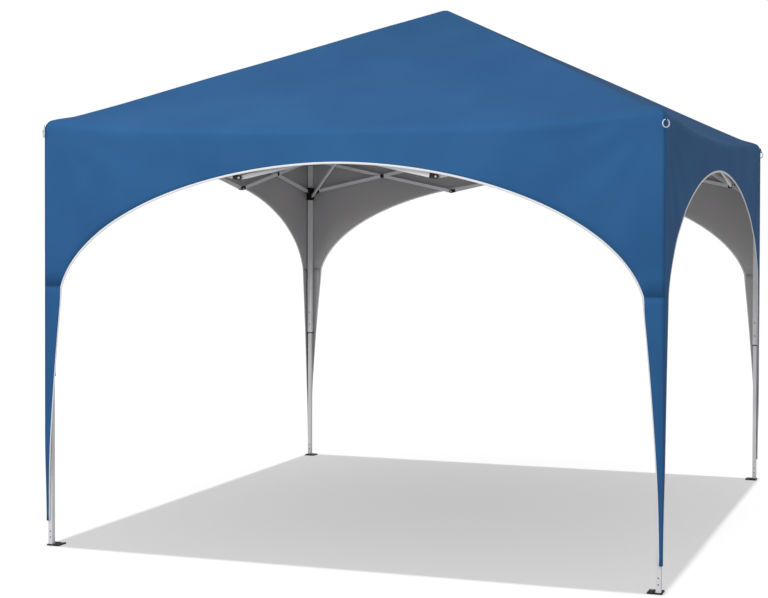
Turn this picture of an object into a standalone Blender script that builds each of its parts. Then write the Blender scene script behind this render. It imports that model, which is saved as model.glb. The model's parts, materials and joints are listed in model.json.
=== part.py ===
"""Pop-up canopy tent: a folding steel frame on four telescoping legs, under a fitted fabric cover.

Metres, +Z up, origin on the ground under the peak. The corners are a (front left), b (front
right), c (back right) and d (back left). Each side has three scissor pairs between its start
corner and its end corner. Falling bars lie in the outer layer and climbing bars in the inner
layer, so every pivot joins one bar of each layer. Four roof ribs, each an outer and an inner
bar, run along the diagonals from the leg tops to a hub under the peak.
"""
import math

import bmesh
import bpy
from mathutils import Matrix, Vector

# Driving dimensions
COVER_SPAN = 3.0
EAVE_Z = 2.0
EAVE_SAG = 0.034
PEAK_Z = 2.70
COVER_THICKNESS = 0.0015
LEG_INSET = 0.022
LEG_SIZE = 0.028
INNER_LEG_SIZE = 0.0222
INNER_LEG_WALL = 0.0015
SEAT_GAP = 0.0003
OUTER_LEG_LOW_Z = 0.814
LEG_INSERTION = 0.16
TOP_PIVOT_Z = 1.962
SCISSOR_HEIGHT = 0.204
SIDE_PIVOT_OUT = 0.040
BAR_THICK = 0.010
BAR_HIGH = 0.020
LAYER_GAP = 0.002
BOSS_SUNK = 0.002
BOSS_SHARE = 0.4
OUTER_LAYER = -0.001
RIB_PIVOT_OUT = 0.060
OUTER_RIB = 1.14
INNER_RIB_ANGLE = math.radians(37)
HUB_ARM = 0.034
STRUT_THICK = 0.008
STRUT_HIGH = 0.016
STRUT_DROP = 0.030
STRUT_GAP = 0.001

# Sizes that follow from them
HALF = COVER_SPAN / 2
LEG = HALF - LEG_INSET
INNER_LAYER = OUTER_LAYER + BAR_THICK + LAYER_GAP
BAYS = 3
BAY = (2 * LEG - 2 * SIDE_PIVOT_OUT) / BAYS
BAR_LENGTH = math.hypot(BAY, SCISSOR_HEIGHT)
BAR_ANGLE = math.atan2(SCISSOR_HEIGHT, BAY)
LOW_PIVOT_Z = TOP_PIVOT_Z - SCISSOR_HEIGHT
HALF_DIAGONAL = math.sqrt(2) * LEG
INNER_RIB = (HALF_DIAGONAL - RIB_PIVOT_OUT - HUB_ARM - OUTER_RIB) / math.cos(INNER_RIB_ANGLE)
HUB_Z = TOP_PIVOT_Z + INNER_RIB * math.sin(INNER_RIB_ANGLE)
INNER_RIB_OFFSET = BAR_THICK + LAYER_GAP
STRUT_OFFSET = (BAR_THICK + STRUT_THICK) / 2 + STRUT_GAP
STRUT_Z = LOW_PIVOT_Z - STRUT_DROP
STRUT_REACH = 0.4775
STRUT_LENGTH = math.hypot(STRUT_REACH, TOP_PIVOT_Z - STRUT_Z)
STRUT_ANGLE = math.atan2(TOP_PIVOT_Z - STRUT_Z, STRUT_REACH)

# Cover
HIP_PROFILE = ((0.0, 0.0), (0.017, 0.040), (0.047, 0.048), (0.097, 0.059), (0.250, 0.128))
CROWN_HALF = 0.020
EAVE_POWER = 2
ARCH_TOP_Z = 1.818
ARCH_HALF_WIDTH = 1.4185
ARCH_HALF_HEIGHT = 0.6616
ARCH_POWER = 1.8732
BEND_INSET = 0.095
SLEEVE_TIP_Z = 0.12
SLEEVE_TIP_WIDTH = 0.016
SLEEVE_POWER = 1.5
SLEEVE_COLUMN_SHARES = (0.25, 0.45, 0.7)
ARCH_STEPS = 9

# Plastic parts
BRACKET_HALF = 0.017
BRACKET_LOW_Z = 1.935
BRACKET_TOP_Z = 1.995
PLUG_DEPTH = 0.040
SLIDER_WALL = 0.004
SLIDER_HALF_HEIGHT = 0.026
EAR_REACH = 0.051
EAR_HALF_HEIGHT = 0.011
ARM_HALF = 0.005
CHEEK_THICK = 0.005
ARM_GAP = 0.0012
BRIDGE_LENGTH = 0.007
FUSE_DEPTH = 0.010
EAR_GAP = 0.001
STRUT_ARM_GAP = 0.003
FOOT_SIZE = 0.064
FOOT_OUT = 0.016
FOOT_PLATE = 0.006
FOOT_PLUG_TOP = 0.040
HUB_RADIUS = 0.022
HUB_HALF_HEIGHT = 0.030
HUB_GAP = 0.0009
HUB_CAP_HEIGHT = 0.015
HUB_CAP_RADIUS = 0.016

CORNERS = {"a": (-1, -1), "b": (1, -1), "c": (1, 1), "d": (-1, 1)}
SIDES = {"front": ("a", "b"), "right": ("b", "c"), "left": ("a", "d"), "back": ("d", "c")}
END_STEPS = 6
BOSS_SIDES = 8


def clear_scene():
    for old in list(bpy.data.objects):
        bpy.data.objects.remove(old, do_unlink=True)


def material(name, colour, roughness, metallic=0.0):
    made = bpy.data.materials.new(name)
    made.use_nodes = True
    shader = made.node_tree.nodes["Principled BSDF"]
    shader.inputs["Base Color"].default_value = (*colour, 1.0)
    shader.inputs["Roughness"].default_value = roughness
    shader.inputs["Metallic"].default_value = metallic
    return made


def place(name, mesh, finish, matrix=None):
    """One object from a mesh, which other objects may share."""
    item = bpy.data.objects.new(name, mesh)
    bpy.context.collection.objects.link(item)
    if not mesh.materials:
        mesh.materials.append(finish)
    if matrix is not None:
        item.matrix_world = matrix
    return item


def prism(outline, low, high, axis="z"):
    """A closed prism: a flat outline pushed along one axis."""
    bm = bmesh.new()
    spot = {"z": lambda p, h: (p[0], p[1], h), "y": lambda p, h: (p[0], h, p[1])}[axis]
    bottom = bm.faces.new([bm.verts.new(spot(p, low)) for p in outline])
    pushed = bmesh.ops.extrude_face_region(bm, geom=[bottom])
    moved = [v for v in pushed["geom"] if isinstance(v, bmesh.types.BMVert)]
    step = Vector(spot((0, 0), high - low))
    bmesh.ops.translate(bm, vec=step, verts=moved)
    bmesh.ops.recalc_face_normals(bm, faces=bm.faces)
    return bm


def box(x, y, z):
    """A closed box from its low and high value on each axis."""
    return prism([(x[0], y[0]), (x[1], y[0]), (x[1], y[1]), (x[0], y[1])], z[0], z[1])


def square_tube(size, hole, low, high):
    """A square tube along Z, open at both ends."""
    bm = bmesh.new()
    signs = [(-1, -1), (1, -1), (1, 1), (-1, 1)]
    loops = []
    for half in (size / 2, hole / 2):
        for z in (low, high):
            loops.append([bm.verts.new((sx * half, sy * half, z)) for sx, sy in signs])
    outer_low, outer_high, inner_low, inner_high = loops
    for i in range(4):
        j = (i + 1) % 4
        bm.faces.new([outer_low[i], outer_low[j], outer_high[j], outer_high[i]])
        bm.faces.new([inner_low[j], inner_low[i], inner_high[i], inner_high[j]])
        bm.faces.new([outer_high[i], outer_high[j], inner_high[j], inner_high[i]])
        bm.faces.new([outer_low[j], outer_low[i], inner_low[i], inner_low[j]])
    return bm


def polygon(radius, sides, centre=(0.0, 0.0)):
    angles = [2 * math.pi * (i + 0.5) / sides for i in range(sides)]
    return [(centre[0] + radius * math.cos(t), centre[1] + radius * math.sin(t)) for t in angles]


def turned(bm, angle):
    bmesh.ops.rotate(bm, verts=bm.verts, cent=(0, 0, 0), matrix=Matrix.Rotation(angle, 3, "Z"))
    return bm


def as_mesh(name, bm):
    mesh = bpy.data.meshes.new(name)
    bm.to_mesh(mesh)
    bm.free()
    return mesh


def fused(name, solids):
    """One mesh from solids that overlap, joined by Boolean unions."""
    helpers = []
    for i, bm in enumerate(solids):
        helper = bpy.data.objects.new(f"{name}_{i}", as_mesh(f"{name}_{i}", bm))
        bpy.context.collection.objects.link(helper)
        helpers.append(helper)
    for helper in helpers[1:]:
        union = helpers[0].modifiers.new("Union", "BOOLEAN")
        union.operation = "UNION"
        union.object = helper
    graph = bpy.context.evaluated_depsgraph_get()
    mesh = bpy.data.meshes.new_from_object(helpers[0].evaluated_get(graph))
    mesh.name = name
    for helper in helpers:
        bpy.data.objects.remove(helper, do_unlink=True)
    return mesh


def bar_solid(length, thick, high):
    """A bar with half-round ends. Its pivots are at the origin and at +X, its width is along Z."""
    outline = []
    for centre, start in ((length, -90), (0.0, 90)):
        for i in range(END_STEPS + 1):
            angle = math.radians(start + 180 * i / END_STEPS)
            outline.append((centre + high / 2 * math.cos(angle), high / 2 * math.sin(angle)))
    return prism(outline, -thick / 2, thick / 2, "y")


def boss(x, side, thick, height, radius):
    """A low round boss on a bar's flat face, on its +Y side or its -Y side."""
    sunk = thick / 2 - BOSS_SUNK
    ends = sorted((side * sunk, side * (thick / 2 + height)))
    return prism(polygon(radius, BOSS_SIDES, (x, 0.0)), ends[0], ends[1], "y")


def frame_at(origin, along, layer):
    """A matrix whose X runs along a bar and whose Y points to the next layer."""
    x = along.normalized()
    y = layer.normalized()
    z = x.cross(y)
    turn = Matrix((x, y, z)).transposed().to_4x4()
    return Matrix.Translation(origin) @ turn


def side_vectors(start, end):
    """A side's start leg, its direction and the level direction into the tent."""
    first = Vector((*CORNERS[start], 0.0)) * LEG
    last = Vector((*CORNERS[end], 0.0)) * LEG
    along = (last - first).normalized()
    inward = -(first + last).normalized()
    return first, along, inward


def build_side(side, start, end, meshes, finish):
    first, along, inward = side_vectors(start, end)
    up = Vector((0, 0, 1))
    fall = along * math.cos(BAR_ANGLE) - up * math.sin(BAR_ANGLE)
    climb = along * math.cos(BAR_ANGLE) + up * math.sin(BAR_ANGLE)
    for bay in range(BAYS):
        at = first + along * (SIDE_PIVOT_OUT + bay * BAY)
        falling = at + inward * OUTER_LAYER + up * TOP_PIVOT_Z
        climbing = at + inward * INNER_LAYER + up * LOW_PIVOT_Z
        falling_at = frame_at(falling, fall, inward)
        climbing_at = frame_at(climbing, climb, inward)
        place(f"{side}_falling_bar_{bay + 1}", meshes["falling"], finish, falling_at)
        place(f"{side}_climbing_bar_{bay + 1}", meshes["climbing"], finish, climbing_at)


def layers_at(corner, level):
    """Which layer each of a corner's two bars is in, at the top bracket or at the slider."""
    found = []
    for start, end in SIDES.values():
        if corner not in (start, end):
            continue
        other = end if corner == start else start
        away = Vector((*CORNERS[other], 0.0)) - Vector((*CORNERS[corner], 0.0))
        falls = (corner == start) == (level == "top")
        found.append((away.normalized(), "outer" if falls else "inner"))
    return found


def ears(corner, level, z):
    """The two ears that carry the side bars, each in the layer its bar leaves free."""
    sx, sy = CORNERS[corner]
    made = []
    for away, layer in layers_at(corner, level):
        inward = Vector((-sx, 0, 0)) if abs(away.y) > 0.5 else Vector((0, -sy, 0))
        if layer == "outer":
            span = (INNER_LAYER - BAR_THICK / 2, INNER_LAYER + BAR_THICK / 2)
        else:
            span = (OUTER_LAYER - BAR_THICK / 2, INNER_LAYER - BAR_THICK / 2 - SEAT_GAP)
        near = away * (LEG_SIZE / 2 + SEAT_GAP + EAR_GAP)
        far = away * EAR_REACH
        points = [near + inward * span[0], far + inward * span[1]]
        xs = sorted(p.x for p in points)
        ys = sorted(p.y for p in points)
        made.append(box(xs, ys, (z - EAR_HALF_HEIGHT, z + EAR_HALF_HEIGHT)))
    return made


def diagonal_angle(corner):
    sx, sy = CORNERS[corner]
    return math.atan2(-sy, -sx)


def build_leg(corner, finish, plastic):
    sx, sy = CORNERS[corner]
    at = Matrix.Translation((sx * LEG, sy * LEG, 0.0))
    tube_hole = INNER_LEG_SIZE + 2 * SEAT_GAP
    leg = square_tube(LEG_SIZE, tube_hole, OUTER_LEG_LOW_Z, BRACKET_LOW_Z - SEAT_GAP)
    place(f"outer_leg_{corner}", as_mesh(f"outer_leg_{corner}", leg), finish, at)

    inner_top = OUTER_LEG_LOW_Z + LEG_INSERTION
    inner_hole = INNER_LEG_SIZE - 2 * INNER_LEG_WALL
    inner = square_tube(INNER_LEG_SIZE, inner_hole, FOOT_PLATE + SEAT_GAP, inner_top)
    place(f"inner_leg_{corner}", as_mesh(f"inner_leg_{corner}", inner), finish, at)

    inner_edge = FOOT_SIZE - FOOT_OUT
    plate_x = sorted((sx * FOOT_OUT, -sx * inner_edge))
    plate_y = sorted((sy * FOOT_OUT, -sy * inner_edge))
    plate = box(plate_x, plate_y, (0.0, FOOT_PLATE))
    peg = inner_hole / 2 - SEAT_GAP
    plug = box((-peg, peg), (-peg, peg), (FOOT_PLATE / 2, FOOT_PLUG_TOP))
    place(f"foot_{corner}", fused(f"foot_{corner}", [plate, plug]), plastic, at)

    span = (-BRACKET_HALF, BRACKET_HALF)
    body = box(span, span, (BRACKET_LOW_Z, BRACKET_TOP_Z))
    span = (-INNER_LEG_SIZE / 2, INNER_LEG_SIZE / 2)
    plug = box(span, span, (BRACKET_LOW_Z - PLUG_DEPTH, BRACKET_LOW_Z + FUSE_DEPTH))
    z = (TOP_PIVOT_Z - EAR_HALF_HEIGHT, TOP_PIVOT_Z + EAR_HALF_HEIGHT)
    rib_end = RIB_PIVOT_OUT - BAR_HIGH / 2
    cheek_near = BAR_THICK / 2 + SEAT_GAP
    arm_end = rib_end - ARM_GAP
    bridge_start = rib_end - BRIDGE_LENGTH
    cheek_y = (-cheek_near - CHEEK_THICK, -cheek_near)
    arm = box((FUSE_DEPTH, arm_end), (-ARM_HALF, ARM_HALF), z)
    cheek = box((bridge_start, RIB_PIVOT_OUT + EAR_HALF_HEIGHT), cheek_y, z)
    bridge = box((bridge_start, arm_end), (-cheek_near - BOSS_SUNK, 0.0), z)
    diagonal = [turned(item, diagonal_angle(corner)) for item in (arm, cheek, bridge)]
    parts = [body, plug] + ears(corner, "top", TOP_PIVOT_Z) + diagonal
    place(f"top_bracket_{corner}", fused(f"top_bracket_{corner}", parts), plastic, at)


def build_slider(corner, plastic):
    sx, sy = CORNERS[corner]
    hole = LEG_SIZE + 2 * SEAT_GAP
    low = LOW_PIVOT_Z - SLIDER_HALF_HEIGHT - STRUT_DROP
    sleeve = square_tube(hole + 2 * SLIDER_WALL, hole, low, LOW_PIVOT_Z + SLIDER_HALF_HEIGHT)
    z = (STRUT_Z - EAR_HALF_HEIGHT, STRUT_Z + EAR_HALF_HEIGHT)
    face = STRUT_OFFSET - STRUT_THICK / 2 - SEAT_GAP
    near = LEG_SIZE / math.sqrt(2) + STRUT_ARM_GAP
    arm = box((near, RIB_PIVOT_OUT + STRUT_HIGH / 2), (-face, -face + CHEEK_THICK), z)
    parts = [sleeve] + ears(corner, "low", LOW_PIVOT_Z) + [turned(arm, diagonal_angle(corner))]
    at = Matrix.Translation((sx * LEG, sy * LEG, 0.0))
    place(f"slider_{corner}", fused(f"slider_{corner}", parts), plastic, at)


def build_ribs(corner, meshes, finish):
    """A corner's outer rib, inner rib and strut, side by side in its diagonal plane."""
    sx, sy = CORNERS[corner]
    up = Vector((0, 0, 1))
    inward = Vector((-sx, -sy, 0)).normalized()
    sideways = up.cross(inward)
    leg = Vector((sx * LEG, sy * LEG, 0.0))
    root = leg + inward * RIB_PIVOT_OUT + up * TOP_PIVOT_Z
    place(f"outer_rib_{corner}", meshes["outer_rib"], finish, frame_at(root, inward, sideways))
    knee = root + inward * OUTER_RIB + sideways * INNER_RIB_OFFSET
    rise = inward * math.cos(INNER_RIB_ANGLE) + up * math.sin(INNER_RIB_ANGLE)
    place(f"inner_rib_{corner}", meshes["inner_rib"], finish, frame_at(knee, rise, sideways))
    foot = leg + inward * RIB_PIVOT_OUT + up * STRUT_Z - sideways * STRUT_OFFSET
    lean = inward * math.cos(STRUT_ANGLE) + up * math.sin(STRUT_ANGLE)
    place(f"roof_strut_{corner}", meshes["strut"], finish, frame_at(foot, lean, sideways))


def build_hub(plastic):
    """The hub under the peak, with one cheek beside the end of each inner rib."""
    core_top = PEAK_Z - HUB_CAP_HEIGHT
    cap_top = PEAK_Z - COVER_THICKNESS - SEAT_GAP
    core = prism(polygon(HUB_RADIUS, BOSS_SIDES), HUB_Z - HUB_HALF_HEIGHT, core_top)
    cap = prism(polygon(HUB_CAP_RADIUS, BOSS_SIDES), core_top - BOSS_SUNK, cap_top)
    parts = [core, cap]
    face = INNER_RIB_OFFSET - BAR_THICK / 2 - HUB_GAP
    for corner in CORNERS:
        cheek = box(
            (-HUB_ARM - EAR_HALF_HEIGHT, -HUB_RADIUS / 2),
            (face - CHEEK_THICK, face),
            (HUB_Z - EAR_HALF_HEIGHT, HUB_Z + EAR_HALF_HEIGHT),
        )
        parts.append(turned(cheek, diagonal_angle(corner)))
    place("peak_hub", fused("peak_hub", parts), plastic)


def arch_z(u):
    """The height of the cover's lower edge at a distance u from the middle of a side."""
    across = min(abs(u), HALF - BEND_INSET) / ARCH_HALF_WIDTH
    arch = ARCH_TOP_Z - ARCH_HALF_HEIGHT * (1 - math.sqrt(1 - across**ARCH_POWER))
    width = max(HALF - abs(u), SLEEVE_TIP_WIDTH)
    if width >= BEND_INSET:
        return arch
    share = (width - SLEEVE_TIP_WIDTH) / (BEND_INSET - SLEEVE_TIP_WIDTH)
    return SLEEVE_TIP_Z + (arch - SLEEVE_TIP_Z) * share ** (1 / SLEEVE_POWER)


def cover_columns():
    """Distances from the middle of a side, from one corner to the other."""
    bend = HALF - BEND_INSET
    sleeve = [HALF, HALF - SLEEVE_TIP_WIDTH] + [HALF - BEND_INSET * k for k in SLEEVE_COLUMN_SHARES]
    arch = [bend * math.sin(math.pi / 2 * i / ARCH_STEPS) for i in range(ARCH_STEPS, 0, -1)]
    half = sleeve + arch
    return [-u for u in half] + [0.0] + half[::-1]


def build_cover(fabric):
    """Roof and four arched sides as one thin shell."""
    columns = [u / HALF for u in cover_columns()]
    rings = list(HIP_PROFILE) + [(HALF - CROWN_HALF, PEAK_Z - EAVE_Z)]
    low_mid = -EAVE_SAG
    rise = PEAK_Z - EAVE_Z - low_mid
    bm = bmesh.new()
    corners = ["a", "b", "c", "d"]

    def ring_points(inset, make_z):
        points = []
        for i, corner in enumerate(corners):
            p = Vector((*CORNERS[corner], 0.0))
            q = Vector((*CORNERS[corners[(i + 1) % 4]], 0.0))
            for s in columns[:-1]:
                flat = p.lerp(q, (s + 1) / 2) * (HALF - inset)
                points.append(bm.verts.new((flat.x, flat.y, make_z(s))))
        return points

    loops = []
    for inset, hip in rings:
        middle = low_mid + rise * inset / (HALF - CROWN_HALF)
        heights = lambda s: EAVE_Z + middle + (hip - middle) * abs(s) ** EAVE_POWER
        loops.append(ring_points(inset, heights))
    hem = ring_points(0.0, lambda s: arch_z(s * HALF))
    count = len(hem)
    for upper, lower in zip([loops[0]] + loops[1:], [hem] + loops[:-1]):
        for i in range(count):
            j = (i + 1) % count
            bm.faces.new([lower[i], lower[j], upper[j], upper[i]])
    bm.faces.new(loops[-1])
    cover = place("canopy", as_mesh("canopy", bm), fabric)
    shell = cover.modifiers.new("Thickness", "SOLIDIFY")
    shell.thickness = COVER_THICKNESS
    shell.offset = -1.0
    shell.use_even_offset = True


def build():
    clear_scene()
    steel = material("powder coated steel", (0.72, 0.73, 0.74), 0.35)
    plastic = material("black plastic", (0.02, 0.02, 0.022), 0.45)
    fabric = material("blue polyester", (0.05, 0.13, 0.33), 0.6)

    boss_radius = BAR_HIGH * BOSS_SHARE
    boss_height = LAYER_GAP - SEAT_GAP
    pivots = (0.0, BAR_LENGTH / 2, BAR_LENGTH)
    bosses = [boss(x, 1, BAR_THICK, boss_height, boss_radius) for x in pivots]
    rib_bosses = [
        boss(OUTER_RIB, 1, BAR_THICK, boss_height, boss_radius),
        boss(STRUT_REACH, -1, BAR_THICK, STRUT_GAP - SEAT_GAP, STRUT_HIGH * BOSS_SHARE),
    ]
    meshes = {
        "falling": fused("falling_bar", [bar_solid(BAR_LENGTH, BAR_THICK, BAR_HIGH)] + bosses),
        "climbing": as_mesh("climbing_bar", bar_solid(BAR_LENGTH, BAR_THICK, BAR_HIGH)),
        "outer_rib": fused("outer_rib", [bar_solid(OUTER_RIB, BAR_THICK, BAR_HIGH)] + rib_bosses),
        "inner_rib": as_mesh("inner_rib", bar_solid(INNER_RIB, BAR_THICK, BAR_HIGH)),
        "strut": as_mesh("roof_strut", bar_solid(STRUT_LENGTH, STRUT_THICK, STRUT_HIGH)),
    }
    for corner in CORNERS:
        build_leg(corner, steel, plastic)
        build_slider(corner, plastic)
        build_ribs(corner, meshes, steel)
    for side, (start, end) in SIDES.items():
        build_side(side, start, end, meshes, steel)
    build_hub(plastic)
    build_cover(fabric)


build()
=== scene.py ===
"""Looks of the pop-up canopy tent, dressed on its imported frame.

Metres, +Z up, origin on the ground under the peak. Corners a (front left), b (front right),
c (back right) and d (back left). The fabric follows the legs and the inner legs through hooks
on their bodies, so that it gathers with the frame when that folds.
"""
import json
import math

import bmesh
import bpy
from mathutils import Matrix, Vector, noise

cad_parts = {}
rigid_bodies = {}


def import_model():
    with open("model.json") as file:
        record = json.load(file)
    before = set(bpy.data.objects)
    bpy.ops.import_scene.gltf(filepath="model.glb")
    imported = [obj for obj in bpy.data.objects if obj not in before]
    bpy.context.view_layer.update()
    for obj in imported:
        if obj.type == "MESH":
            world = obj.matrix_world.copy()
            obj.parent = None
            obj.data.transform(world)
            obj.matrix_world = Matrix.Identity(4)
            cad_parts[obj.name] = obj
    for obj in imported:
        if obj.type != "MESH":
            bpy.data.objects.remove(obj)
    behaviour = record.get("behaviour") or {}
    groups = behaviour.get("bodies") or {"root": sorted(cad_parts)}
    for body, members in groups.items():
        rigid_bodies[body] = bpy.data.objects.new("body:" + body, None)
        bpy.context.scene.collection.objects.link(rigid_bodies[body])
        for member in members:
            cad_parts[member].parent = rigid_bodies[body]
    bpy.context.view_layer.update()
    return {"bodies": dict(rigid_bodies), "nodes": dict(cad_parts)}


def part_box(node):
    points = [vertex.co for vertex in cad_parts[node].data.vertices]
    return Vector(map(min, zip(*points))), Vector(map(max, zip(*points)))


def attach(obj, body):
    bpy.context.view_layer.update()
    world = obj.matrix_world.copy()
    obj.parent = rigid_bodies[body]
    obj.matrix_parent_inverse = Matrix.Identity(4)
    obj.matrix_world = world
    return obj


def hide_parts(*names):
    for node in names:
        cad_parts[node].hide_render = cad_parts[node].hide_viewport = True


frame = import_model()

# Sizes read from the frame
COVER_LOW, COVER_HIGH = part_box("canopy")
HALF = COVER_HIGH.x
PEAK_Z = COVER_HIGH.z
TIP_Z = COVER_LOW.z
OUTER_LEG_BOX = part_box("outer_leg_a")
LEG = -(OUTER_LEG_BOX[0].x + OUTER_LEG_BOX[1].x) / 2
LEG_HALF = (OUTER_LEG_BOX[1].x - OUTER_LEG_BOX[0].x) / 2
LEG_LOW_Z = OUTER_LEG_BOX[0].z
INNER_LEG_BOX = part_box("inner_leg_a")
INNER_HALF = (INNER_LEG_BOX[1].x - INNER_LEG_BOX[0].x) / 2

# Cover, as in the part's source, with the hip a little rounder near the eave
EAVE_Z = 2.0
EAVE_SAG = 0.034
HIP_PROFILE = (
    (0.0, 0.0), (0.005, 0.018), (0.017, 0.036), (0.047, 0.047),
    (0.097, 0.059), (0.250, 0.128), (1.500, 0.7093),
)
CROWN_HALF = 0.020
ARCH_TOP_Z = 1.818
ARCH_HALF_WIDTH = 1.4185
ARCH_HALF_HEIGHT = 0.6616
ARCH_POWER = 1.8732
BEND_INSET = 0.095
TIP_WIDTH = 0.016
SLEEVE_POWER = 1.5

# Frame, as in the part's source
TOP_PIVOT_Z = 1.962
LOW_PIVOT_Z = 1.758
SIDE_PIVOT_OUT = 0.040
BAYS = 3
BAY = 2 * (LEG - SIDE_PIVOT_OUT) / BAYS
BAR_THICK = 0.010
BAR_HIGH = 0.020
OUTER_LAYER = -0.001
INNER_LAYER = 0.011
RIB_PIVOT_OUT = 0.060
OUTER_RIB = 1.14
INNER_RIB_ANGLE = math.radians(37)
HUB_ARM = 0.034
INNER_RIB_OFFSET = 0.012
STRUT_Z = 1.728
STRUT_REACH = 0.4775
STRUT_OFFSET = 0.010
STRUT_THICK = 0.008

# Fabric
CLOTH_THICK = 0.0012
WEAVE_PERIOD = 0.0011
EAVE_ROUNDING = 0.022
CROWN_ROUNDING = 0.006
HIP_BLUR = 0.3
HIP_BLUR_END = 0.05
HIP_SAMPLES = 3
LEAN = 0.005
LEAN_START_Z = 0.55
LEAST_WEIGHT = 0.0005
LEAST_REACH = 0.001

# Tension folds of the walls, which spread from just above each eave corner
FOLD_DEPTH = 0.0045
FOLD_SHARE = 1.5
FOLD_CENTRE_RISE = 0.03
FOLD_FADE = 0.55
FOLD_TURN = 15.0
FOLD_PHASES = (1.7, 0.9)
FOLD_STARTS_ACROSS = (0.05, 0.20)
FOLD_STARTS_AWAY = (0.05, 0.25)
SLOW_SHARE = 1.1
SLOW_RATE = (1.3, 1.9, 3.1)
SLOW_SEED = 0.5
SLOW_EDGE = (0.06, 0.30)
HEM_HEIGHT = 0.10
HEM_SHARE = 0.3
EAVE_BAND = (0.05, 0.01)
EAVE_SHARE = 0.25

# Swell of the roof and creases beside its hips
SWELL = 0.0035
SWELL_RATE = 1.7
SWELL_SEED = 8.3
CREASE = 0.0012
CREASE_RATE = 60.0
CREASE_TURN = 9.0
CREASE_WIDTH = 0.05
CREASE_FADE = 0.8
CALM_EAVE = (0.03, 0.30)
CALM_PEAK = (0.05, 0.35)

# Sleeves, their seams and the bindings
SLEEVE_BOW = 0.0022
BOW_STEADY = 0.4
BOW_RATE = 9
SEAM_HALF = 0.0022
SEAM_PROUD = 0.0007
SEAM_SUNK = -0.0006
BINDING_WIDTH = 0.0085
SLEEVE_BINDING_WIDTH = 0.0042
BINDING_NARROWING = 0.08
BINDING_THICK = 0.0011
BINDING_EDGE = 0.0015
BINDING_FOLD_SHARE = 0.3
STITCH_LENGTH = 0.0036
STITCH_ROWS = (0.30, 0.70)
STITCH_HALF = 0.022
STITCH_GAP = -0.3
TAPE_RIB = 0.0012

# Rows and columns of the fabric's meshes
WALL_ROWS = 14
WALL_ROW_POWER = 0.85
CORNER_COLUMNS = 6
ARCH_COLUMNS = 26
ARCH_EDGE_STEPS = 88
SLEEVE_STEPS = 40
SLEEVE_COLUMNS = 5
SEAM_STEPS = 12

# UV maps are in metres, and each piece starts at a place of its own in the weave
ROOF_UV_STRETCH = 1.12
SIDE_UV_STEP = 4.0
SLEEVE_UV_START = 20
SEAM_UV_START = 30
TAB_UV_START = 60.0

# The wave texture's scale for about one band a metre
WAVE_SCALE = 0.31831

CORNERS = {"a": (-1, -1), "b": (1, -1), "c": (1, 1), "d": (-1, 1)}
AROUND = ("a", "b", "c", "d")
SIDES = {"front": ("a", "b"), "right": ("b", "c"), "left": ("a", "d"), "back": ("d", "c")}
SQUARE = ((-1, -1), (1, -1), (1, 1), (-1, 1))
ROOT = "peak_hub"
UP = Vector((0, 0, 1))
DOWN = (0.0, 0.0, -1.0)

BLUE = (0.030, 0.124, 0.300)
DEEP_BLUE = (0.025, 0.109, 0.272)
SILVER = (0.440, 0.430, 0.440)
WHITE_TAPE = (0.86, 0.86, 0.87)
STEEL = (0.80, 0.80, 0.82)
BLACK = (0.009, 0.009, 0.010)
ZINC = (0.62, 0.62, 0.63)
RING_WIRE = (0.83, 0.84, 0.86)
RING_DULL = (0.76, 0.77, 0.79)
RING_BRIGHT = (0.86, 0.87, 0.89)
THREAD = (0.66, 0.66, 0.68)
PALE_FLOOR = (0.92, 0.915, 0.92)


# Materials

def shader_material(name, colour, roughness, metallic=0.0):
    made = bpy.data.materials.new(name)
    made.use_nodes = True
    shader = made.node_tree.nodes["Principled BSDF"]
    shader.inputs["Base Color"].default_value = (*colour, 1.0)
    shader.inputs["Roughness"].default_value = roughness
    shader.inputs["Metallic"].default_value = metallic
    return made, made.node_tree.nodes, made.node_tree.links, shader


def shaded(colour, factor):
    return tuple(channel * factor for channel in colour)


def noise_node(nodes, links, source, scale, detail=3.0, stretch=(1, 1, 1)):
    mapping = nodes.new("ShaderNodeMapping")
    mapping.inputs["Scale"].default_value = stretch
    links.new(source, mapping.inputs["Vector"])
    made = nodes.new("ShaderNodeTexNoise")
    made.inputs["Scale"].default_value = scale
    made.inputs["Detail"].default_value = detail
    links.new(mapping.outputs["Vector"], made.inputs["Vector"])
    return made.outputs["Fac"]


def wave_node(nodes, links, source, period, direction):
    made = nodes.new("ShaderNodeTexWave")
    made.bands_direction = direction
    made.inputs["Scale"].default_value = WAVE_SCALE / period
    made.inputs["Distortion"].default_value = 0.0
    links.new(source, made.inputs["Vector"])
    return made.outputs["Fac"]


def math_node(nodes, links, operation, first, second):
    made = nodes.new("ShaderNodeMath")
    made.operation = operation
    for socket, value in zip(made.inputs, (first, second)):
        if isinstance(value, (int, float)):
            socket.default_value = value
        else:
            links.new(value, socket)
    return made.outputs[0]


def two_tone(nodes, links, factor, low, high, shader, ends=(0.35, 0.65)):
    ramp = nodes.new("ShaderNodeValToRGB")
    ramp.color_ramp.elements[0].position = ends[0]
    ramp.color_ramp.elements[0].color = (*low, 1.0)
    ramp.color_ramp.elements[1].position = ends[1]
    ramp.color_ramp.elements[1].color = (*high, 1.0)
    links.new(factor, ramp.inputs["Fac"])
    links.new(ramp.outputs["Color"], shader.inputs["Base Color"])


def bump_chain(nodes, links, shader, layers):
    """Bump nodes in a row, one for each (height, distance, strength)."""
    normal = None
    for height, distance, strength in layers:
        bump = nodes.new("ShaderNodeBump")
        bump.inputs["Distance"].default_value = distance
        bump.inputs["Strength"].default_value = strength
        links.new(height, bump.inputs["Height"])
        if normal is not None:
            links.new(normal, bump.inputs["Normal"])
        normal = bump.outputs["Normal"]
    links.new(normal, shader.inputs["Normal"])


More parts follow.
